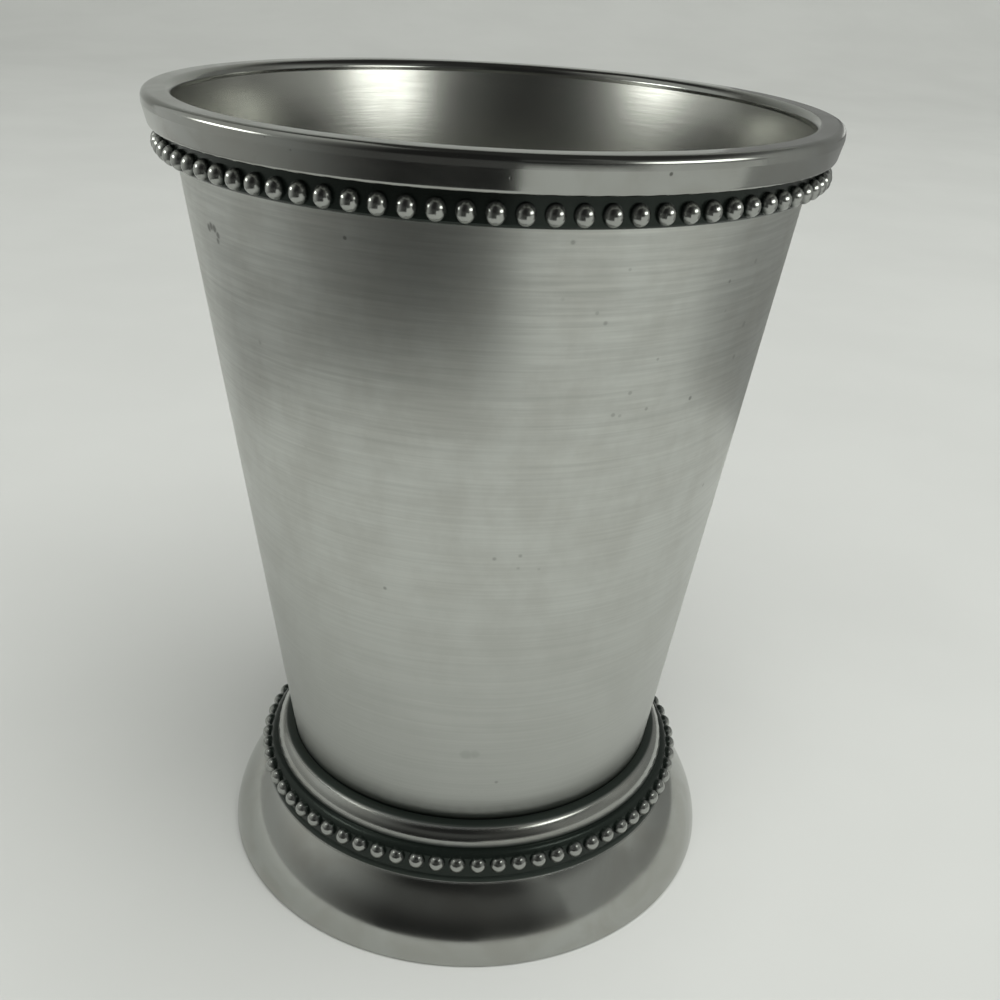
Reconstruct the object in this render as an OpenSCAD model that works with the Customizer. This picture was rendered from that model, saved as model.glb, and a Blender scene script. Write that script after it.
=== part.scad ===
// Julep cup: a tapered sheet cup with an applied beaded rim, standing on a flared beaded foot

/* [Cup] */
// Height from the table to the top of the lip
cup_h = 108; // [95:1:125]
// Outer radius of the wall at the mouth, right under the lip
mouth_r = 39.5; // [38:0.5:42]
// Outer radius of the wall where it goes down into the foot
waist_r = 27; // [25:0.5:27.5]
// Thickness of the wall sheet
wall_t = 0.8; // [0.6:0.1:1.2]
// Thickness of the bottom disc
floor_t = 1.2; // [0.8:0.1:1.8]

/* [Rim] */
// Thickness of the rounded lip that caps the mouth
lip_t = 1.4; // [1:0.1:2]
// Width of the lip from the inside of the wall to its outer edge
lip_w = 3.5; // [3.2:0.1:4]
// Height of the plain band under the lip
band_h = 2.5; // [1.8:0.1:3.2]
// How far the face of the band curves in from the lip down to its lower edge
band_lean = 0.6; // [0.3:0.1:0.9]
// Radius of the rounded lower edge of the band
band_edge = 0.5; // [0.2:0.1:0.7]
// Height of the strip that carries the rim beads
rim_strip_h = 3.5; // [3.2:0.1:4.4]
// Thickness of that strip behind the beads
rim_strip_t = 1; // [0.7:0.05:1.2]
// Drop from the top of that strip to the middle of its beads
rim_bead_drop = 2; // [1.6:0.1:2.2]
// Beads round the rim
rim_beads = 88; // [80:4:92]
// Turn of the rim beads about the axis, in degrees
rim_bead_turn = 0.4; // [0:0.1:4]

/* [Foot] */
// Radius of the foot at the table
foot_r = 36.3; // [34:0.1:40]
// Height of the flared skirt
skirt_h = 11; // [9:0.1:12]
// Thickness of the skirt
skirt_t = 1.2; // [0.9:0.1:1.6]
// How far the small flat shoulder on top of the skirt stands out past the foot's bead strip
shoulder_out = 0.25; // [0.1:0.05:0.6]
// How far the shoulder reaches in under the bottom disc
shoulder_seat = 2.7; // [2:0.1:5]
// Thickness of the collar round the foot of the wall
collar_t = 3.05; // [2.4:0.05:3.6]
// How far the polished roll on top of the collar stands out past it
roll_out = 0.25; // [0.1:0.05:0.6]
// Height of that roll
roll_h = 2.7; // [2:0.1:3]
// Height of the strip that carries the foot beads
foot_strip_h = 3.9; // [3.6:0.1:4.6]
// Thickness of that strip behind the beads
foot_strip_t = 1.45; // [1:0.05:1.8]
// Drop from the top of that strip to the middle of its beads
foot_bead_drop = 1.7; // [1.6:0.1:2.2]
// Beads round the foot
foot_beads = 70; // [60:2:72]
// Turn of the foot beads about the axis, in degrees
foot_bead_turn = -1.9; // [-5:0.1:5]

/* [Beads and joints] */
// Radius of one bead
bead_r = 1.2; // [1:0.05:1.3]
// How far the middle of a bead stands proud of its strip
bead_stand = 0.05; // [0.05:0.05:0.2]
// Gap that the solder fills between pieces fitted round one another
solder_gap = 0.05; // [0.03:0.01:0.1]
// Leg of the solder fillets
fillet_leg = 1.4; // [0.8:0.1:2]

/* [Hidden] */

satin = [0.60, 0.60, 0.57];
polished = [0.68, 0.68, 0.66];
oxidised = [0.40, 0.41, 0.40];
soldered = [0.52, 0.52, 0.50];

$fn = 96;
// Steps in one rounded stretch of an outline
arc_steps = 8;
// Steps in the long curve of the skirt
skirt_steps = 12;

// Heights, from the table up
floor_z = skirt_h;
wall_low_z = floor_z + floor_t;
roll_z = floor_z + foot_strip_h;
waist_z = roll_z + roll_h;
wall_top_z = cup_h - lip_t;
band_low_z = wall_top_z - band_h;
rim_strip_z = band_low_z - rim_strip_h;
// Radii, from the wall out
wall_low_r = wall_out(wall_low_z);
lip_in_r = mouth_r - wall_t;
lip_r = lip_in_r + lip_w;
rim_strip_r = wall_out(band_low_z) + solder_gap + rim_strip_t;
collar_r = wall_low_r + solder_gap + collar_t;
roll_r = collar_r + roll_out;
foot_strip_r = collar_r + solder_gap + foot_strip_t;
shoulder_r = foot_strip_r + shoulder_out;
shoulder_hole_r = wall_low_r - shoulder_seat;
// Round at the inner edge of the lip, as shares of its width and thickness
lip_round_w_share = 0.3;
lip_round_h_share = 0.75;
// Round at its outer edge, as a share of its thickness
lip_edge_share = 0.6;
// Chamfer under the rim's bead strip, as a share of its thickness
rim_chamfer_share = 0.5;
// Depth of a bead's root inside its strip, as a share of the strip's thickness
bead_root_share = 0.5;
// Handles of the skirt's curve, as shares of its width and height
skirt_top_w_share = 0.45;
skirt_top_h_share = 0.22;
skirt_low_w_share = 0.96;
skirt_low_h_share = 0.64;
// Rounds at the table edge and at the shoulder edge, as shares of the skirt's thickness
table_round_share = 0.4;
shoulder_round_share = 0.35;
// Slope at which the shoulder's round runs into the skirt, in degrees above level
shoulder_slope = 30;
// Slope at which the band's face runs into its lower edge, in degrees below level
band_turn = 30;

// Outer radius of the tapered wall at height z
function wall_out(z) = waist_r + (mouth_r - waist_r) * (z - waist_z) / (wall_top_z - waist_z);

// Inner radius of the tapered wall at height z
function wall_in(z) = wall_out(z) - wall_t;

// Points along an elliptic arc about (x, z)
function arc(x, z, half_w, half_h, from, to) = [
    for (i = [0:arc_steps])
        let (a = from + (to - from) * i / arc_steps)
        [x + half_w * cos(a), z + half_h * sin(a)]
];

// One point of a smooth curve from a to d with handles b and c
function curve_point(a, b, c, d, t) =
    pow(1 - t, 3) * a + 3 * pow(1 - t, 2) * t * b + 3 * (1 - t) * t * t * c + pow(t, 3) * d;

// Points down one face of the skirt, from (top_r, top_z) to (low_r, low_z)
function skirt_curve(top_r, top_z, low_r, low_z) =
    let (w = low_r - top_r, h = top_z - low_z)
    [
        for (i = [0:skirt_steps])
            curve_point(
                [top_r, top_z],
                [top_r + w * skirt_top_w_share, top_z - h * skirt_top_h_share],
                [top_r + w * skirt_low_w_share, top_z - h * skirt_low_h_share],
                [low_r, low_z],
                i / skirt_steps
            )
    ];

// Solid of revolution about the cup's axis
module turned(outline) {
    rotate_extrude()
        polygon(outline);
}

// One bead with its pole along +X and its root cut flat behind it
module bead(root) {
    rotate([0, 90, 0])
        difference() {
            sphere(r = bead_r, $fn = 24);
            translate([0, 0, -root - bead_r])
                cube(2 * bead_r, center = true);
        }
}

// Ring of beads on a strip with its face at strip_r, their poles pointing outward
module bead_ring(count, turn, strip_r, strip_t, z) {
    for (i = [0:count - 1])
        rotate([0, 0, turn - 90 + i * 360 / count])
            translate([strip_r + bead_stand, 0, z])
                bead(strip_t * bead_root_share);
}

// Tapered wall, standing on the bottom disc
module cup_wall() {
    color(satin)
        turned([
            [wall_low_r - wall_t, wall_low_z],
            [wall_low_r, wall_low_z],
            [mouth_r, wall_top_z],
            [lip_in_r, wall_top_z]
        ]);
}

// Bottom disc, lying on the shoulder of the foot
module cup_floor() {
    color(satin)
        translate([0, 0, floor_z])
            cylinder(r = wall_low_r, h = floor_t);
}

// Rounded lip over the edges of the wall and the band
module rim_lip() {
    edge = lip_t * lip_edge_share;
    round_w = lip_w * lip_round_w_share;
    round_h = lip_t * lip_round_h_share;
    color(polished)
        turned(concat(
            [[lip_in_r, wall_top_z]],
            [[lip_r, wall_top_z]],
            arc(lip_r - edge, cup_h - edge, edge, edge, 0, 90),
            arc(lip_in_r + round_w, cup_h - round_h, round_w, round_h, 90, 180)
        ));
}

// Plain band that carries the lip's face on down, curving in to a rounded lower edge
module rim_band() {
    low_r = lip_r - band_lean;
    edge_r = low_r - band_edge * cos(band_turn);
    face_h = band_h - band_edge * (1 - sin(band_turn));
    color(polished)
        turned(concat(
            [[wall_out(wall_top_z) + solder_gap, wall_top_z]],
            [[wall_out(band_low_z) + solder_gap, band_low_z]],
            arc(edge_r, band_low_z + band_edge, band_edge, band_edge, -90, -band_turn),
            [
                for (i = [arc_steps - 1:-1:0])
                    [lip_r - band_lean * pow(i / arc_steps, 2), wall_top_z - face_h * i / arc_steps]
            ]
        ));
}

// Beaded strip under the band
module rim_bead_wire() {
    chamfer = rim_strip_t * rim_chamfer_share;
    color(oxidised)
        union() {
            turned([
                [wall_out(rim_strip_z) + solder_gap, rim_strip_z],
                [rim_strip_r - chamfer, rim_strip_z],
                [rim_strip_r, rim_strip_z + chamfer],
                [rim_strip_r, band_low_z],
                [wall_out(band_low_z) + solder_gap, band_low_z]
            ]);
            bead_ring(rim_beads, rim_bead_turn, rim_strip_r, rim_strip_t, band_low_z - rim_bead_drop);
        }
}

// Collar round the foot of the wall, with the polished roll on top
module foot_collar() {
    crease_r = wall_out(waist_z) + solder_gap;
    disc_r = wall_low_r + solder_gap;
    color(polished)
        turned(concat(
            [[disc_r, floor_z]],
            [[collar_r, floor_z]],
            [[collar_r, roll_z]],
            arc(crease_r, roll_z, roll_r - crease_r, roll_h, 0, 90),
            [[disc_r, wall_low_z]]
        ));
}

// Beaded strip round the collar, standing on the shoulder of the foot
module foot_bead_wire() {
    chamfer = foot_strip_r - roll_r;
    color(oxidised)
        union() {
            turned([
                [collar_r + solder_gap, floor_z],
                [foot_strip_r, floor_z],
                [foot_strip_r, roll_z - chamfer],
                [roll_r, roll_z],
                [collar_r + solder_gap, roll_z]
            ]);
            bead_ring(foot_beads, foot_bead_turn, foot_strip_r, foot_strip_t, roll_z - foot_bead_drop);
        }
}

// Flared skirt with a flat shoulder that carries the cup
module foot_skirt() {
    table_round = skirt_t * table_round_share;
    edge = skirt_t * shoulder_round_share;
    color(polished)
        turned(concat(
            [[shoulder_hole_r, floor_z - skirt_t]],
            [[shoulder_hole_r, floor_z]],
            arc(shoulder_r - edge, floor_z - edge, edge, edge, 90, shoulder_slope),
            skirt_curve(shoulder_r, floor_z - 2 * edge, foot_r, table_round),
            arc(foot_r - table_round, table_round, table_round, table_round, 0, -90),
            [[foot_r - skirt_t, 0]],
            [
                for (i = [skirt_steps:-1:0])
                    skirt_curve(shoulder_r - skirt_t, floor_z - skirt_t, foot_r - skirt_t, 0)[i]
            ]
        ));
}

// Fillet of solder in the corner of wall and bottom disc
module floor_solder() {
    corner_r = wall_low_r - wall_t;
    color(soldered)
        turned([
            [corner_r - fillet_leg, wall_low_z],
            [corner_r, wall_low_z],
            [wall_in(wall_low_z + fillet_leg), wall_low_z + fillet_leg]
        ]);
}

// Fillet of solder between the bottom disc and the shoulder, seen from below
module foot_solder() {
    leg = min(fillet_leg, skirt_t);
    color(soldered)
        turned([
            [shoulder_hole_r - leg, floor_z],
            [shoulder_hole_r, floor_z - leg],
            [shoulder_hole_r, floor_z]
        ]);
}

cup_wall();
cup_floor();
rim_lip();
rim_band();
rim_bead_wire();
foot_collar();
foot_bead_wire();
foot_skirt();
floor_solder();
foot_solder();
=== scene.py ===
import math
import random

import bpy
from mathutils import Matrix, Vector, noise


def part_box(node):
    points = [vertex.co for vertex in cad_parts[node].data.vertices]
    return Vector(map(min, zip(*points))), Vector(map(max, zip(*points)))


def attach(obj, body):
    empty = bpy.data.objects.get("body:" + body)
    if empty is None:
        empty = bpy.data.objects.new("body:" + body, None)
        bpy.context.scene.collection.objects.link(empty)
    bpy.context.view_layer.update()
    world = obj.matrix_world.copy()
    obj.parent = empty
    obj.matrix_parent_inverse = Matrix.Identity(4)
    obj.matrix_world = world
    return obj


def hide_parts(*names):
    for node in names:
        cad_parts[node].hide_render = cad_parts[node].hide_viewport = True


# julep cup: a satin wall between a polished, beaded rim and a polished, beaded foot
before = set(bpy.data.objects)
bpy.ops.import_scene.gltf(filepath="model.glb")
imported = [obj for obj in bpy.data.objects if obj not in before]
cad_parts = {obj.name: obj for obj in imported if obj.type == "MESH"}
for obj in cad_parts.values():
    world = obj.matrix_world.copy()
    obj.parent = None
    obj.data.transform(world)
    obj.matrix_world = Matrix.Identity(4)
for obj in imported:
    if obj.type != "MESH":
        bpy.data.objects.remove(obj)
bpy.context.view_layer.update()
mm = 0.001
print("frame loaded:", len(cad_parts), "nodes")


# a Wire is a socket of a material, and sums on it become Math nodes
class Wire:
    def __init__(self, finish, socket):
        self.finish = finish
        self.socket = socket

    def calc(self, operation, first, second=0.0):
        return self.finish.add("ShaderNodeMath", {"operation": operation}, {0: first, 1: second})

    def __add__(self, other):
        return self.calc("ADD", self, other)

    def __radd__(self, other):
        return self.calc("ADD", other, self)

    def __sub__(self, other):
        return self.calc("SUBTRACT", self, other)

    def __rsub__(self, other):
        return self.calc("SUBTRACT", other, self)

    def __mul__(self, other):
        return self.calc("MULTIPLY", self, other)

    def __rmul__(self, other):
        return self.calc("MULTIPLY", other, self)

    def __truediv__(self, other):
        return self.calc("DIVIDE", self, other)

    def step(self, start, full):  # 0 at start, 1 at full, smooth between, and start may be the higher
        settings = {"interpolation_type": "SMOOTHSTEP"}
        sockets = {"Value": self, "From Min": start, "From Max": full}
        return self.finish.add("ShaderNodeMapRange", settings, sockets)


# nodes of a material, or of the world round the stage
class Finish:
    def __init__(self, name, world=False):
        self.material = (bpy.data.worlds if world else bpy.data.materials).new(name)
        self.material.use_nodes = True
        self.tree = self.material.node_tree
        self.shader = self.tree.nodes["Background" if world else "Principled BSDF"]
        self.place = self.add("ShaderNodeTexCoord", {}, {}, out="Generated" if world else "Object")

    # any node: its type, its settings, then the values or links of its sockets
    def add(self, kind, settings, sockets, out=0):
        node = self.tree.nodes.new(kind)
        for key, value in settings.items():
            setattr(node, key, value)
        for key, value in sockets.items():
            self.plug(node.inputs[key], value)
        return Wire(self, node.outputs[out])

    def plug(self, socket, value):
        if isinstance(value, Wire):
            self.tree.links.new(value.socket, socket)
        else:
            socket.default_value = value

    def set(self, values):
        for key, value in values.items():
            self.plug(self.shader.inputs[key], value)

    def stretch(self, across, along):  # the place in millimetres, scaled level and upright
        sockets = {0: self.place, 1: (across / mm, across / mm, along / mm)}
        return self.add("ShaderNodeVectorMath", {"operation": "MULTIPLY"}, sockets)

    def cloud(self, across, along, detail=3.0, roughness=0.55, warp=0.0):
        sockets = {
            "Vector": self.stretch(across, along), "Scale": 1.0, "Detail": detail,
            "Roughness": roughness, "Distortion": warp,
        }
        return self.add("ShaderNodeTexNoise", {}, sockets)

    def specks(self, look):  # small round pits that stand in loose groups
        sockets = {"Vector": self.stretch(look["pits"], look["pits"]), "Scale": 1.0}
        pits = 1 - self.add("ShaderNodeTexVoronoi", {}, sockets).step(*look["pitRange"])
        groups = self.cloud(look["groups"], look["groups"], detail=look["groupDetail"])
        return pits * groups.step(*look["groupRange"])

    def mix(self, share, first, second):
        sockets = {0: share, 6: first, 7: second}
        return self.add("ShaderNodeMix", {"data_type": "RGBA"}, sockets, out=2)

    def bump(self, height):  # height in metres
        self.set({"Normal": self.add("ShaderNodeBump", {}, {"Height": height, "Distance": 1.0})})

    def upright(self):  # height above the table in millimetres
        return self.add("ShaderNodeSeparateXYZ", {}, {0: self.place}, out=2) / mm

    def radius(self):  # distance from the cup's axis in millimetres
        level = self.stretch(1.0, 0.0)
        return self.add("ShaderNodeVectorMath", {"operation": "LENGTH"}, {0: level}, out="Value")

    def spot(self, centre, size, core=0.4):  # 1 in the core of a small round spot, 0 outside it
        sockets = {0: self.stretch(1.0, 1.0), 1: tuple(v / mm for v in centre)}
        reach = self.add("ShaderNodeVectorMath", {"operation": "DISTANCE"}, sockets, out="Value")
        return 1 - reach.step(size * core, size)


cast = {"red": 0.978, "blue": 0.95}  # faint green-yellow tinge of the metal and the light


def grey(tone, warmth=0.0):
    return (tone * (cast["red"] + warmth), tone, tone * (cast["blue"] - warmth), 1.0)


# reach of a node from the cup's axis, and its lowest and highest point
def spanOf(node):
    low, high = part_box(node)
    return min(high.x, high.y, -low.x, -low.y), low.z, high.z


# a point round the axis, with its angle in degrees from the front (-Y) towards +X
def around(radius, angle, z):
    a = math.radians(angle)
    return Vector((radius * math.sin(a), -radius * math.cos(a), z))


# points on an elliptic arc, angles in degrees
def arc(r, z, halfWidth, halfHeight, start, end, steps=14):
    points = []
    for i in range(steps + 1):
        a = math.radians(start + (end - start) * i / steps)
        points.append((r + halfWidth * math.cos(a), z + halfHeight * math.sin(a)))
    return points


def line(start, end, steps):
    return [tuple(a + (b - a) * i / steps for a, b in zip(start, end)) for i in range(steps + 1)]


# smooth curve from a to d with handles b and c
def curve(a, b, c, d, steps):
    points = []
    for i in range(steps + 1):
        t = i / steps
        weights = ((1 - t) ** 3, 3 * (1 - t) ** 2 * t, 3 * (1 - t) * t * t, t ** 3)
        points.append(tuple(sum(w * p[k] for w, p in zip(weights, (a, b, c, d))) for k in range(2)))
    return points


# faces round the axis, for the plain pieces and for the ones with long bright edges
plainSteps, fineSteps = 256, 320
tooClose = 1e-7  # points nearer than this, in metres, count as one


# vertices and faces of a closed ring turned about the axis from a closed outline
def turn(outline, steps=plainSteps, wobble=None):
    ends = outline[1:] + outline[:1]
    rows = [point for point, end in zip(outline, ends) if math.dist(point, end) > tooClose]
    verts, faces = [], []
    for i in range(steps):
        a = 2 * math.pi * i / steps
        for r, z in rows:
            reach = r + (wobble(a, z) if wobble else 0.0)
            verts.append((reach * math.sin(a), -reach * math.cos(a), z))
    count = len(rows)
    for i in range(steps):
        near, far = i * count, (i + 1) % steps * count
        for k in range(count):
            m = (k + 1) % count
            faces.append((near + k, near + m, far + m, far + k))
    return verts, faces


def makePiece(name, parts, finish, sharpAngle=38):
    verts, faces = [], []
    for partVerts, partFaces in parts:
        base = len(verts)
        verts += partVerts
        faces += [tuple(base + v for v in face) for face in partFaces]
    mesh = bpy.data.meshes.new(name)
    mesh.from_pydata(verts, [], faces)
    mesh.validate()
    mesh.shade_smooth()
    mesh.set_sharp_from_angle(angle=math.radians(sharpAngle))
    mesh.materials.append(finish.material)
    piece = bpy.data.objects.new(name + "_detail", mesh)
    bpy.context.collection.objects.link(piece)
    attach(piece, "root")
    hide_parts(name)


# finishes: a pattern is its count for each millimetre, round and up the cup,
# a range runs from where a shade starts to where it is full, and heights are in millimetres
satin = {
    "tone": 0.60, "tarnish": 0.53, "tarnishWarmth": 0.01, "lowShadeTone": 0.455, "lowShadeHeights": (15, 75),
    # outside, the roughness stays above 0.28: a smoother wall renders with small bright flecks
    "roughness": 0.315, "brushing": 0.62,
    "hairLines": (0.05, 3.2), "hairRange": (0.25, 0.75), "hairShade": 0.18, "lineTone": 0.27,
    "strokes": (0.10, 1.7), "strokeRange": (0.3, 0.7), "strokeShade": 0.22,
    "strokeHeights": (45, 100), "strokeDepth": 5e-6, "strokeWear": 0.05,
    "blotches": (0.16, 0.12), "blotchDetail": 4.0, "blotchGrain": 0.6,
    "blotchRange": (0.36, 0.68), "blotchWear": 0.02,
    "specks": {
        "pits": 0.30, "pitRange": (0.03, 0.11),
        "groups": 0.07, "groupDetail": 0.0, "groupRange": (0.60, 0.68),
    },
    "speckShade": 0.5, "markTone": 0.10, "markShade": 0.75, "markDepth": 10e-6, "wearAndShadeWarmth": 0.02,
    "creaseTone": 0.12, "creaseHeight": 18.2, "creaseWidth": 0.6,
    # inside: how far in from the outer face it starts, then its tone, a painted shade darker than the
    # outside, and how much of it covers
    "insideRange": (0.3, 0.5), "insideShadeTone": 0.33, "insideShadeCover": 0.8, "insidePolish": 0.075,
    "dullHeights": (86, 55), "dullness": 0.7,
}


def wallSlope():
    reach, low, high = spanOf("cup_wall")
    return (reach - spanOf("cup_floor")[0]) / (high - low)


def wallFoot():  # outer radius in millimetres that the wall's line would have on the table
    return (spanOf("cup_floor")[0] - wallSlope() * spanOf("cup_wall")[1]) / mm


def makeSatin(name, marks=()):
    f = Finish(name)
    height = f.upright()
    reach = height * wallSlope() + wallFoot()  # the wall's outer radius at this height
    inside = (reach - f.radius()).step(*satin["insideRange"])
    hair = f.cloud(*satin["hairLines"])
    stroke = f.cloud(*satin["strokes"])  # short strokes, strongest below the rim
    strokeShare = height.step(*satin["strokeHeights"])
    blotch = f.cloud(*satin["blotches"], satin["blotchDetail"], satin["blotchGrain"])
    blotch = blotch.step(*satin["blotchRange"])
    mark = f.specks(satin["specks"]) * satin["speckShade"]
    for centre, size, depth in marks:
        mark = mark.calc("MAXIMUM", mark, f.spot(centre, size) * depth)
    mark = mark * (1 - inside)

    high = f.mix(blotch, grey(satin["tone"]), grey(satin["tarnish"], satin["tarnishWarmth"]))
    # painted shade: the wall's tone darkens towards the foot, for the shadowed floor near the foot that
    # it reflects
    tone = f.mix(height.step(*satin["lowShadeHeights"]), grey(satin["lowShadeTone"]), high)
    shade = hair.step(*satin["hairRange"]) * satin["hairShade"]
    shade = shade + stroke.step(*satin["strokeRange"]) * strokeShare * satin["strokeShade"]
    lines = f.mix(shade, tone, grey(satin["lineTone"]))
    marked = f.mix(mark * satin["markShade"], lines, grey(satin["markTone"], satin["wearAndShadeWarmth"]))
    # painted shade: the inside of the cup gets a darker, warmer tone than the outside of the same metal
    insideShadeTone = grey(satin["insideShadeTone"], satin["wearAndShadeWarmth"])
    worn = f.mix(inside * satin["insideShadeCover"], marked, insideShadeTone)
    crease = 1 - height.step(satin["creaseHeight"] - satin["creaseWidth"], satin["creaseHeight"])
    colour = f.mix(crease * (1 - inside), worn, grey(satin["creaseTone"]))

    rough = satin["roughness"] + (stroke - 0.5) * satin["strokeWear"]
    rough = rough + (blotch - 0.5) * satin["blotchWear"] - inside * satin["insidePolish"]
    dull = height.step(*satin["dullHeights"]) * inside  # drinks have dulled the lower inside
    metallic = 1 - dull * satin["dullness"]
    f.set({"Base Color": colour, "Metallic": metallic, "Roughness": rough})
    f.set({"Anisotropic": satin["brushing"]})
    f.bump(stroke * strokeShare * satin["strokeDepth"] - mark * satin["markDepth"])
    return f


polished = {
    "tone": 0.46, "dull": 0.40, "dullWarmth": 0.02, "roughness": 0.12, "brushing": 0.3,
    "scratches": (0.05, 7.0), "scratchDetail": 4.0, "scratchDepth": 0.8e-6, "scratchWear": 0.06,
    "smears": (0.09, 0.12), "smearDetail": 4.0, "smearWarp": 0.8,
    "smearRange": (0.35, 0.7), "smearWear": 0.07,
    "specks": {
        "pits": 0.8, "pitRange": (0.03, 0.12),
        "groups": 0.2, "groupDetail": 1.0, "groupRange": (0.55, 0.65),
    },
    "speckShade": 0.6, "markTone": 0.08, "markWarmth": 0.05, "markShade": 0.8, "markDepth": 8e-6,
    # patina: its colour, then how ragged, rough and dull it is
    "patina": (0.022, 0.029, 0.024, 1.0), "patinaRagged": 0.2, "patinaWear": 0.3, "patinaDull": 0.4,
}


# shine: share of the full tone that a piece keeps, so some pieces are darker than others, haze:
# roughness added by wear
# joints: pairs of heights in millimetres, from bare metal to full patina
def makePolished(name, marks=(), shine=1.0, haze=0.0, joints=()):
    f = Finish(name)
    scratch = f.cloud(*polished["scratches"], polished["scratchDetail"])
    smear = f.cloud(*polished["smears"], polished["smearDetail"], warp=polished["smearWarp"])
    smear = smear.step(*polished["smearRange"])
    mark = f.specks(polished["specks"]) * polished["speckShade"]
    for centre, size in marks:
        mark = mark.calc("MAXIMUM", mark, f.spot(centre, size))
    height = f.upright() + (scratch - 0.5) * polished["patinaRagged"]
    patina = 0.0
    for bare, full in joints:
        patina = height.calc("MAXIMUM", patina, height.step(bare, full))

    dullTone = grey(polished["dull"] * shine, polished["dullWarmth"])
    tone = f.mix(smear, grey(polished["tone"] * shine), dullTone)
    markTone = grey(polished["markTone"], polished["markWarmth"])
    marked = f.mix(mark * polished["markShade"], tone, markTone)
    colour = f.mix(patina, marked, polished["patina"])
    rough = polished["roughness"] + haze + smear * polished["smearWear"]
    rough = rough + (scratch - 0.5) * polished["scratchWear"] + patina * polished["patinaWear"]
    f.set({"Base Color": colour, "Metallic": 1 - patina * polished["patinaDull"], "Roughness": rough})
    f.set({"Anisotropic": polished["brushing"]})
    f.bump(scratch * polished["scratchDepth"] - mark * polished["markDepth"])
    return f


beaded = {
    "tone": 0.37, "oxide": (0.016, 0.022, 0.018, 1.0), "oxideMetal": 0.65, "bright": 0.22, "dull": 0.25,
    # how far out from the strip's face the oxide starts to wear off, and where it is gone
    "wornFrom": 0.20, "wornFull": 0.85, "wornRagged": 0.4,
    "grain": (1.2, 1.2), "grainDetail": 4.0, "grainWear": 0.03, "grainDepth": 6e-6,
}


# bright bead tops over a dark channel; faceRadius is where the strip's face lies
def makeBeaded(name, faceRadius):
    f = Finish(name)
    grain = f.cloud(*beaded["grain"], beaded["grainDetail"])
    face = faceRadius / mm
    reach = f.radius() + (grain - 0.5) * beaded["wornRagged"]
    worn = reach.step(face + beaded["wornFrom"], face + beaded["wornFull"])
    colour = f.mix(worn, beaded["oxide"], grey(beaded["tone"]))
    rough = beaded["dull"] + (beaded["bright"] - beaded["dull"]) * worn
    rough = rough + (grain - 0.5) * beaded["grainWear"]
    metallic = beaded["oxideMetal"] + worn * (1 - beaded["oxideMetal"])
    f.set({"Base Color": colour, "Metallic": metallic, "Roughness": rough})
    f.bump(grain * beaded["grainDepth"])
    return f


solder = {
    "tone": 0.40, "warmth": 0.02, "hollowTone": 0.28, "hollowWarmth": 0.03, "roughness": 0.45,
    "lumps": (0.5, 0.5), "lumpDetail": 4.0, "lumpWarp": 0.5, "lumpRange": (0.3, 0.7),
    "lumpWear": 0.2, "lumpHeight": 60e-6, "ringSteps": 10,
}


def makeSolder(name):
    f = Finish(name)
    lumps = f.cloud(*solder["lumps"], solder["lumpDetail"], warp=solder["lumpWarp"])
    hollow = grey(solder["hollowTone"], solder["hollowWarmth"])
    colour = f.mix(lumps.step(*solder["lumpRange"]), grey(solder["tone"], solder["warmth"]), hollow)
    rough = solder["roughness"] + (lumps - 0.5) * solder["lumpWear"]
    f.set({"Base Color": colour, "Metallic": 1.0, "Roughness": rough})
    f.bump(lumps * solder["lumpHeight"])
    return f


# wall and bottom
wall = {
    "sheet": 0.8 * mm, "lowRadius": spanOf("cup_floor")[0], "rows": 72,
    "waviness": 0.035 * mm, "waveHeight": 60 * mm, "waves": 1.6,
    # marks: angle from the front towards +X, height and size in millimetres, depth as a share
    "marks": [
        (-55.9, 94.8, 0.60, 1.0), (-54.8, 95.1, 0.62, 1.0), (-53.6, 95.0, 0.62, 1.0),
        (-52.6, 94.4, 0.54, 0.9), (-53.0, 93.7, 0.46, 0.8), (-0.9, 29.7, 1.10, 0.22),
        (1.3, 29.8, 0.90, 0.20), (-22.5, 97.8, 0.30, 0.8), (-19.8, 55.0, 0.32, 0.6),
        (53.1, 87.1, 0.50, 0.35), (52.7, 83.1, 0.42, 0.35), (43.9, 93.3, 0.30, 0.5),
        (50.8, 94.9, 0.42, 0.3), (30.4, 85.5, 0.26, 0.4), (21.8, 96.1, 0.26, 0.3),
        (25.9, 81.8, 0.34, 0.4), (30.1, 79.5, 0.30, 0.45), (23.2, 79.3, 0.36, 0.4),
        (24.6, 79.1, 0.28, 0.3), (17.3, 91.5, 0.30, 0.3), (40.8, 79.6, 0.36, 0.7),
    ],
}


def onWall(angle, height):  # a point of the outer face, its height in millimetres
    return around((height * wallSlope() + wallFoot()) * mm, angle, height * mm)


def wallWobble(angle, z):
    point = Vector((math.cos(angle), math.sin(angle), z / wall["waveHeight"]))
    return wall["waviness"] * noise.noise(point * wall["waves"])


def makeWall():
    reach, low, high = spanOf("cup_wall")
    sheet = wall["sheet"]
    outer = line((wall["lowRadius"], low), (reach, high), wall["rows"])
    inner = line((reach - sheet, high), (wall["lowRadius"] - sheet, low), wall["rows"])
    marks = [(onWall(angle, height), size, depth) for angle, height, size, depth in wall["marks"]]
    finish = makeSatin("satin_wall", marks)
    makePiece("cup_wall", [turn(outer + inner, wobble=wallWobble)], finish)


bottom = {"rings": 12, "sides": 192}


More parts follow.
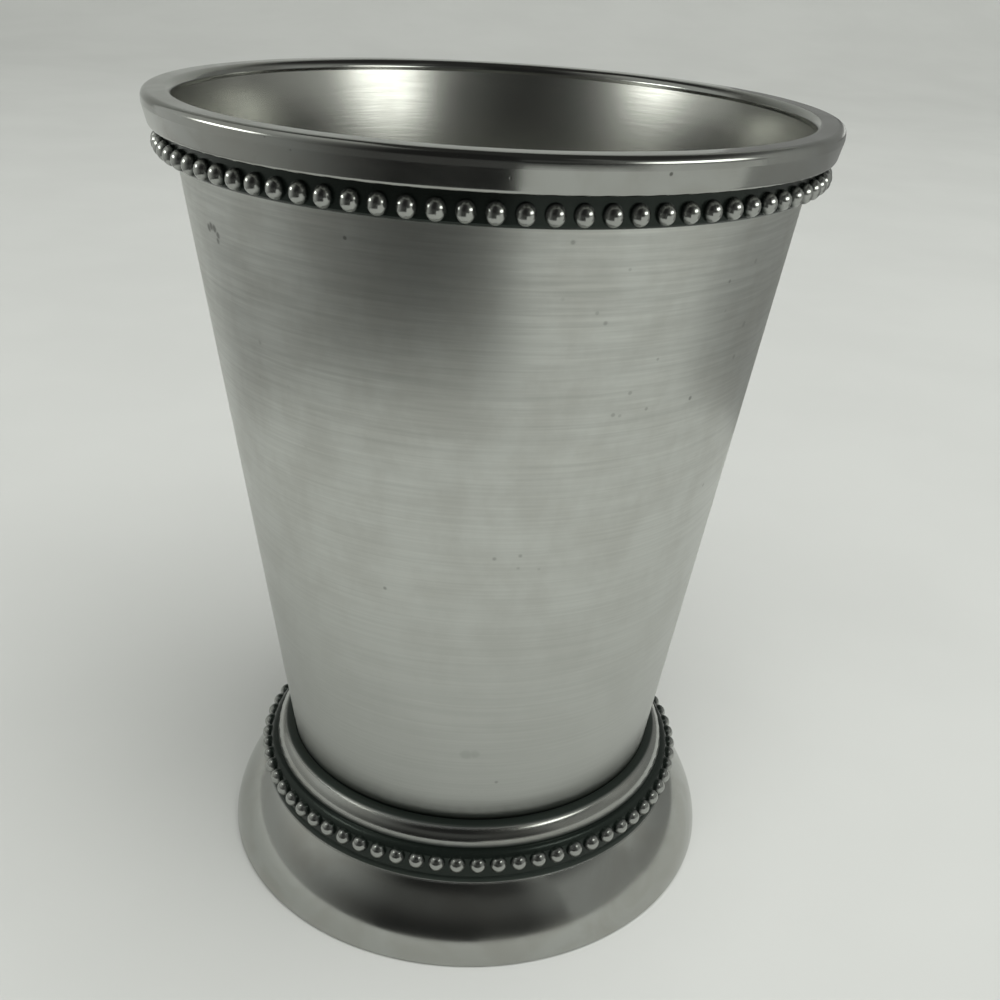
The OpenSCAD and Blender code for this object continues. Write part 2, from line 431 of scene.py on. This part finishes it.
# a disc: its two faces are turned with a small hole, and each hole is closed by a fan
def makeFloor():
    reach, low, high = spanOf("cup_floor")
    rings, sides = bottom["rings"], bottom["sides"]
    above = [(reach * i / rings, high) for i in range(rings, 0, -1)]
    under = [(reach * i / rings, low) for i in range(1, rings + 1)]
    verts, faces = turn(above + under, sides)
    count, last = 2 * rings, rings - 1  # last: the innermost point of the upper face
    faces = [face for face in faces if face[0] % count != last]
    top, base = len(verts), len(verts) + 1
    verts += [(0, 0, high), (0, 0, low)]
    for i in range(sides):
        near, far = i * count + last, (i + 1) % sides * count + last
        faces.append((near, top, far))
        faces.append((near + 1, far + 1, base))
    makePiece("cup_floor", [(verts, faces)], makeSatin("satin_floor"))


# rim
rim = {
    # the lip's rounding, as shares of its width and height
    "lipInner": 38.7 * mm, "lipRoundWidth": 0.30, "lipRoundHeight": 0.75, "lipEdge": 0.6,
    "bandLean": 0.5 * mm, "bandEdge": 0.5 * mm, "bandTurn": 15, "bandRows": 16, "bandTaper": 0.3 * mm,
    "stripChamfer": 0.5 * mm, "stripLean": 0.4 * mm, "edgeSteps": 8,
    "lipShine": 0.75, "bandShine": 0.84,
    # nicks: angle from the front towards +X, the place and the size in millimetres
    "lipNick": {"angle": -62.0, "radius": 38.9, "drop": 0.4, "size": 0.45},
    "bandNick": {"angle": 23.5, "height": 106.3, "size": 0.30},
}


def makeLip():
    reach, low, high = spanOf("rim_lip")
    inner, thick = rim["lipInner"], high - low
    edge = thick * rim["lipEdge"]
    width, height = (reach - inner) * rim["lipRoundWidth"], thick * rim["lipRoundHeight"]
    outline = line((inner, low), (reach, low), 4)
    outline += arc(reach - edge, high - edge, edge, edge, 0, 90)
    outline += arc(inner + width, high - height, width, height, 90, 180)
    nick = rim["lipNick"]
    centre = around(nick["radius"] * mm, nick["angle"], high - nick["drop"] * mm)
    finish = makePolished("polished_lip", [(centre, nick["size"])], shine=rim["lipShine"])
    makePiece("rim_lip", [turn(outline, fineSteps)], finish)


def makeBand():
    reach, low, high = spanOf("rim_band")
    edge, slope = rim["bandEdge"], math.radians(rim["bandTurn"])
    back = rim["lipInner"] + wall["sheet"]
    faceLow = (reach - rim["bandLean"], low + edge * (1 - math.sin(slope)))
    edgeMiddle = faceLow[0] - edge * math.cos(slope)
    outline = [(back, high), (back - rim["bandTaper"], low)]
    outline += arc(edgeMiddle, low + edge, edge, edge, -90, -rim["bandTurn"], rim["edgeSteps"])
    outline += line(faceLow, (reach, high), rim["bandRows"])[1:]
    nick = rim["bandNick"]
    centre = around(reach, nick["angle"], nick["height"] * mm)
    finish = makePolished("polished_band", [(centre, nick["size"])], shine=rim["bandShine"])
    makePiece("rim_band", [turn(outline, fineSteps)], finish)


# beads are slightly uneven: smallest is a share of the full size, and shift a length to either side
beadRows = {
    "radius": 1.2 * mm, "stand": 0.05 * mm, "root": 0.5 * mm, "smallest": 0.965, "shift": 0.03,
    "rings": 9, "sides": 24,
    "rim": {"count": 88, "turn": math.radians(0.4), "drop": 2.0 * mm, "narrow": 0.90, "seed": 11},
    "foot": {"count": 70, "turn": math.radians(-1.9), "drop": 1.7 * mm, "narrow": 0.97, "seed": 12},
}


# one bead: a dome with its pole outward and a short root inside the strip
def bead(narrow, angle, reach, z, dice):
    rings, sides = beadRows["rings"], beadRows["sides"]
    size = [beadRows["radius"] * dice.uniform(beadRows["smallest"], 1.0) for axis in range(3)]
    size[1] *= narrow
    shift = dice.uniform(-beadRows["shift"], beadRows["shift"]) * mm
    turned = Matrix.Rotation(angle - math.pi / 2, 3, "Z")
    verts = [turned @ Vector((reach + size[0], shift, z))]
    for i in range(1, rings + 1):
        fall = math.pi / 2 * i / rings
        out = reach + size[0] * math.cos(fall)
        for k in range(sides):
            a = 2 * math.pi * k / sides
            side = size[1] * math.sin(fall) * math.cos(a)
            up = size[2] * math.sin(fall) * math.sin(a)
            verts.append(turned @ Vector((out, side + shift, z + up)))
    last = len(verts) - sides
    for k in range(sides):
        verts.append(verts[last + k] + turned @ Vector((-beadRows["root"], 0, 0)))
    faces = [(0, 1 + k, 1 + (k + 1) % sides) for k in range(sides)]
    for i in range(rings):
        near, far = 1 + i * sides, 1 + (i + 1) * sides
        for k in range(sides):
            m = (k + 1) % sides
            faces.append((near + k, far + k, far + m, near + m))
    faces.append(tuple(reversed(range(len(verts) - sides, len(verts)))))
    return [tuple(v) for v in verts], faces


def beadFace(strip):  # radius of the strip's face behind its beads
    return spanOf(strip)[0] - beadRows["radius"] - beadRows["stand"]


def makeBeadRow(strip, outline, row):
    dice = random.Random(row["seed"])
    face, z = beadFace(strip), spanOf(strip)[2] - row["drop"]
    parts = [turn(outline, fineSteps)]
    for i in range(row["count"]):
        angle = row["turn"] + 2 * math.pi * i / row["count"]
        parts.append(bead(row["narrow"], angle, face + beadRows["stand"], z, dice))
    makePiece(strip, parts, makeBeaded("beads_" + strip, face))


def makeRimBeads():
    reach, low, high = spanOf("rim_bead_wire")
    face, back, cut = beadFace("rim_bead_wire"), rim["lipInner"], rim["stripChamfer"]
    corner = [(face - cut, low), (face - cut / 2, low), (face, low + cut / 2), (face, low + cut)]
    outline = [(back, low)] + curve(*corner, rim["edgeSteps"])
    outline += [(face, high), (back + rim["stripLean"], high)]
    makeBeadRow("rim_bead_wire", outline, beadRows["rim"])


# foot
foot = {
    "creaseRadius": 27.05 * mm, "rollHeight": 2.7 * mm, "rollSteps": 24,
    "collarLow": 26.3 * mm, "collarStep": 0.4 * mm, "collarSheet": 1.2 * mm, "stripLap": 0.2 * mm,
    "skirtSheet": 1.2 * mm, "shoulderOut": 0.25 * mm, "hole": 23.55 * mm,
    # handles of the skirt's curve, as shares of its width and height
    "topWidth": 0.45, "topHeight": 0.22, "lowWidth": 0.96, "lowHeight": 0.64, "skirtSteps": 40,
    "tableRound": 0.48 * mm, "shoulderRound": 0.42 * mm, "edgeSteps": 8,
    "collarShine": 0.86, "collarHaze": 0.03, "skirtShine": 0.96,
    # patina in the joints, from bare to full, in millimetres up from the top or from the roll's foot
    "creasePatina": (-0.60, -0.20), "rollPatina": (1.0, -0.1), "skirtPatina": (-1.05, -0.65),
}


def jointAt(z, patina):
    return tuple(z / mm + rise for rise in patina)


def makeCollar():
    reach, low, high = spanOf("foot_collar")
    inner, crease, rollHeight = foot["collarLow"], foot["creaseRadius"], foot["rollHeight"]
    roll, body = high - rollHeight, reach - foot["collarStep"]
    outline = [(inner, low), (body, low), (body, roll)]
    outline += arc(crease, roll, reach - crease, rollHeight, 0, 90, foot["rollSteps"])
    outline += [(inner, low + foot["collarSheet"])]
    joints = [jointAt(high, foot["creasePatina"]), jointAt(roll, foot["rollPatina"])]
    finish = makePolished(
        "polished_collar", shine=foot["collarShine"], haze=foot["collarHaze"], joints=joints,
    )
    makePiece("foot_collar", [turn(outline)], finish)


def makeFootBeads():
    reach, low, high = spanOf("foot_bead_wire")
    face, top = beadFace("foot_bead_wire"), spanOf("foot_collar")[0]
    cut, back = face - top, top - foot["stripLap"]
    corner = [(face, high - cut), (face, high - cut / 2), (top + cut / 2, high), (top, high)]
    outline = [(back, low), (face, low)] + curve(*corner, foot["edgeSteps"]) + [(back, high)]
    makeBeadRow("foot_bead_wire", outline, beadRows["foot"])


def skirtFace(topRadius, topZ, lowRadius, lowZ):
    width, height = lowRadius - topRadius, topZ - lowZ
    first = (topRadius + width * foot["topWidth"], topZ - height * foot["topHeight"])
    second = (topRadius + width * foot["lowWidth"], topZ - height * foot["lowHeight"])
    return curve((topRadius, topZ), first, second, (lowRadius, lowZ), foot["skirtSteps"])


def makeSkirt():
    reach, low, high = spanOf("foot_skirt")
    sheet, edge, base = foot["skirtSheet"], foot["shoulderRound"], foot["tableRound"]
    shoulder = beadFace("foot_bead_wire") + foot["shoulderOut"]
    outline = [(foot["hole"], high - sheet), (foot["hole"], high)]
    outline += arc(shoulder - edge, high - edge, edge, edge, 90, 30, foot["edgeSteps"])
    outline += skirtFace(shoulder, high - 2 * edge, reach, low + base)
    outline += arc(reach - base, low + base, base, base, 0, -90, foot["edgeSteps"])
    outline += skirtFace(shoulder - sheet, high - sheet, reach - sheet, low)[::-1]
    joints = [jointAt(high, foot["skirtPatina"])]
    finish = makePolished("polished_skirt", shine=foot["skirtShine"], joints=joints)
    makePiece("foot_skirt", [turn(outline, fineSteps)], finish)


# a fillet with one leg on the disc, upward inside the cup and downward below it
def makeSolderRing(name, finishName, upward):
    reach, low, high = spanOf(name)
    leg = high - low
    disc, tip = (low, high) if upward else (high, low)
    middle = (low + high) / 2
    start, end = (reach - leg, disc), (reach, tip)
    outline = curve(start, (reach - leg / 2, disc), (reach, middle), end, solder["ringSteps"])
    outline += [(reach, disc)]
    makePiece(name, [turn(outline)], makeSolder(finishName))


makeWall()
makeFloor()
print("wall and bottom made")
makeLip()
makeBand()
makeRimBeads()
print("rim made")
makeCollar()
makeFootBeads()
makeSkirt()
makeSolderRing("floor_solder", "solder_inside", True)
makeSolderRing("foot_solder", "solder_below", False)
print("foot made")


# studio: a pale floor that bends up into the backdrop, and hidden lamps above it, in metres
studio = {
    "floorTone": 0.60, "floorShade": 0.96, "floorRoughness": 0.9,
    "floorClouds": (0.012, 0.012), "cloudRange": (0.3, 0.7),
    "sweepFrom": 1.0, "sweepRadius": 1.2, "sweepHeight": 2.4, "sweepSteps": 32, "reach": 6.0,
    # tones of the sky, and the heights of a direction between which one turns into the other
    "horizonTone": 0.35, "zenithTone": 0.05, "skyRange": (0.45, 0.80),
    # azimuth from -Y towards +X, elevation, distance, size and power; they don't show in the metal
    "aim": (0, 0, 0.06),
    "lamps": {
        "top": (42, 66, 2.2, 2.4, 53.0), "fill": (-25, 50, 2.2, 1.8, 13.0),
        "far": (135, 60, 2.6, 2.0, 6.0),
    },
}


def makeStage():
    start, radius, reach = studio["sweepFrom"], studio["sweepRadius"], studio["reach"]
    rows = [(-reach, 0.0)] + arc(start, radius, radius, radius, -90, 0, studio["sweepSteps"])
    rows += [(start + radius, studio["sweepHeight"])]
    verts = [(x, y, z) for y, z in rows for x in (-reach, reach)]
    faces = [(2 * i, 2 * i + 1, 2 * i + 3, 2 * i + 2) for i in range(len(rows) - 1)]
    mesh = bpy.data.meshes.new("floor")
    mesh.from_pydata(verts, [], faces)
    mesh.shade_smooth()
    f = Finish("pale_floor")
    soft = f.cloud(*studio["floorClouds"]).step(*studio["cloudRange"])
    shaded = grey(studio["floorTone"] * studio["floorShade"])
    tone = f.mix(soft, grey(studio["floorTone"]), shaded)
    f.set({"Base Color": tone, "Roughness": studio["floorRoughness"]})
    mesh.materials.append(f.material)
    floor = bpy.data.objects.new("floor", mesh)
    bpy.context.collection.objects.link(floor)


def makeSky():
    sky = Finish("studio", world=True)
    height = sky.add("ShaderNodeSeparateXYZ", {}, {0: sky.place}, out=2).step(*studio["skyRange"])
    light = studio["horizonTone"] + height * (studio["zenithTone"] - studio["horizonTone"])
    sky.set({"Color": grey(1.0), "Strength": light})
    bpy.context.scene.world = sky.material


def makeLamps():
    for name, (azimuth, elevation, distance, size, power) in studio["lamps"].items():
        lamp = bpy.data.lights.new(name + "_lamp", "AREA")
        lamp.shape = "DISK"
        lamp.size, lamp.energy = size, power
        holder = bpy.data.objects.new(name + "_lamp", lamp)
        rise = math.radians(elevation)
        way = around(math.cos(rise), azimuth, math.sin(rise))
        holder.location = Vector(studio["aim"]) + way * distance
        holder.rotation_euler = way.to_track_quat("Z", "Y").to_euler()
        holder.visible_camera = False
        holder.visible_glossy = False
        bpy.context.collection.objects.link(holder)


# curved sheets round the cup that only the metal shows: dark screens and small bright panes
# angles run from -Y towards +X, radius and heights are in metres
screens = {
    "front": {
        "radius": 0.155, "low": 0.001, "high": 0.50, "from": -118, "to": 7,
        "lightAngle": -86, "lightTone": 0.60, "darkAngle": -26, "darkTone": 0.026, "middleTone": 0.095,
    },
    "front_right": {
        "radius": 0.80, "low": 0.001, "high": 1.40, "from": 0, "to": 46,
        "lightAngle": 46, "lightTone": 0.24, "darkAngle": 26, "darkTone": 0.045, "middleTone": 0.10,
    },
    "right": {
        "radius": 0.170, "low": 0.001, "high": 0.20, "from": 80, "to": 160,
        "lightAngle": 84, "lightTone": 0.49, "darkAngle": 125, "darkTone": 0.28, "middleTone": 0.27,
    },
}
# where a screen's tones rise and fall, in shares of its radius, and its light tone near the floor
screenFade = {"rise": (0.15, 0.50), "fall": (0.60, 0.85), "lowLight": 0.68}
windows = {
    "right": {
        "radius": 0.12, "low": 0.114, "high": 0.154, "middle": 54, "core": 8, "edge": 21, "glow": 6.4,
    },
    "left": {
        "radius": 0.12, "low": 0.124, "high": 0.147, "middle": -77, "core": 6, "edge": 16, "glow": 11.0,
    },
    "back": {
        "radius": 0.12, "low": 0.100, "high": 0.118, "middle": 134, "core": 3, "edge": 10, "glow": 1.0,
    },
}
windowFade = {"soft": 0.35, "edgeTone": 0.02}  # soft edge as a share of the height, and its tone
sheetSteps = 48


def makeSheet(name, shape, start, end, glowOf):
    verts, faces = [], []
    for i in range(sheetSteps + 1):
        angle = start + (end - start) * i / sheetSteps
        verts += [around(shape["radius"], angle, shape[side]) for side in ("low", "high")]
    for i in range(sheetSteps):
        faces.append((2 * i, 2 * i + 2, 2 * i + 3, 2 * i + 1))
    mesh = bpy.data.meshes.new(name)
    mesh.from_pydata(verts, [], faces)
    f = Finish(name)
    across = f.add("ShaderNodeSeparateXYZ", {}, {0: f.place}, out=0)
    ahead = 0 - f.add("ShaderNodeSeparateXYZ", {}, {0: f.place}, out=1)
    turned = across.calc("ARCTAN2", across, ahead) * math.degrees(1)
    f.set({"Base Color": grey(0.0), "Specular IOR Level": 0.0})
    f.set({"Emission Color": glowOf(f, turned, shape), "Emission Strength": shape.get("glow", 1.0)})
    mesh.materials.append(f.material)
    sheet = bpy.data.objects.new(name, mesh)
    bpy.context.collection.objects.link(sheet)
    sheet.visible_camera = False
    sheet.visible_diffuse = False
    sheet.visible_shadow = False


def screenGlow(f, turned, screen):
    dark = turned.step(screen["lightAngle"], screen["darkAngle"])
    height = f.upright() / (screen["radius"] / mm)
    rise = height.step(*screenFade["rise"])
    middle = rise * (1 - height.step(*screenFade["fall"]))
    shadow = f.mix(middle, grey(screen["darkTone"]), grey(screen["middleTone"]))
    lowLight = grey(screen["lightTone"] * screenFade["lowLight"])
    return f.mix(dark, f.mix(rise, lowLight, grey(screen["lightTone"])), shadow)


def windowGlow(f, turned, window):
    aside = turned - window["middle"]
    level = 1 - aside.calc("ABSOLUTE", aside).step(window["core"], window["edge"])
    low, high = window["low"] / mm, window["high"] / mm
    soft = (high - low) * windowFade["soft"]
    height = f.upright()
    share = level * height.step(low, low + soft) * (1 - height.step(high - soft, high))
    return f.mix(share, grey(windowFade["edgeTone"]), grey(1.0))


def makeSheets():
    for name, screen in screens.items():
        makeSheet(name + "_screen", screen, screen["from"], screen["to"], screenGlow)
    for name, window in windows.items():
        middle, edge = window["middle"], window["edge"]
        makeSheet(name + "_window", window, middle - edge, middle + edge, windowGlow)


# camera: distance from the cup's axis, height above the table, and turns in degrees
viewpoint = {
    "distance": 154.77 * mm, "height": 126.26 * mm, "pitch": 25.69, "yaw": 2.62, "roll": 3.62,
    "lens": 43.04, "sensor": 36, "shiftX": -0.0295, "shiftY": 0.0086, "nearest": 0.01, "farthest": 50,
}


def makeCamera():
    pitch, yaw, roll = (math.radians(viewpoint[key]) for key in ("pitch", "yaw", "roll"))
    level = Vector((math.cos(yaw), -math.sin(yaw), 0))
    flat = math.cos(pitch)
    ahead = Vector((math.sin(yaw) * flat, math.cos(yaw) * flat, -math.sin(pitch)))
    top = level.cross(ahead)
    right = level * math.cos(roll) + top * math.sin(roll)
    up = top * math.cos(roll) - level * math.sin(roll)
    data = bpy.data.cameras.new("photo_camera")
    data.lens, data.sensor_width = viewpoint["lens"], viewpoint["sensor"]
    data.shift_x, data.shift_y = viewpoint["shiftX"], viewpoint["shiftY"]
    data.clip_start, data.clip_end = viewpoint["nearest"], viewpoint["farthest"]
    camera = bpy.data.objects.new("photo_camera", data)
    camera.matrix_world = Matrix((right, up, -ahead)).transposed().to_4x4()
    camera.location = (0, -viewpoint["distance"], viewpoint["height"])
    bpy.context.collection.objects.link(camera)
    bpy.context.scene.camera = camera


makeStage()
makeSky()
makeLamps()
makeSheets()
makeCamera()
bpy.context.scene.view_settings.view_transform = "Standard"
print("studio and camera set")
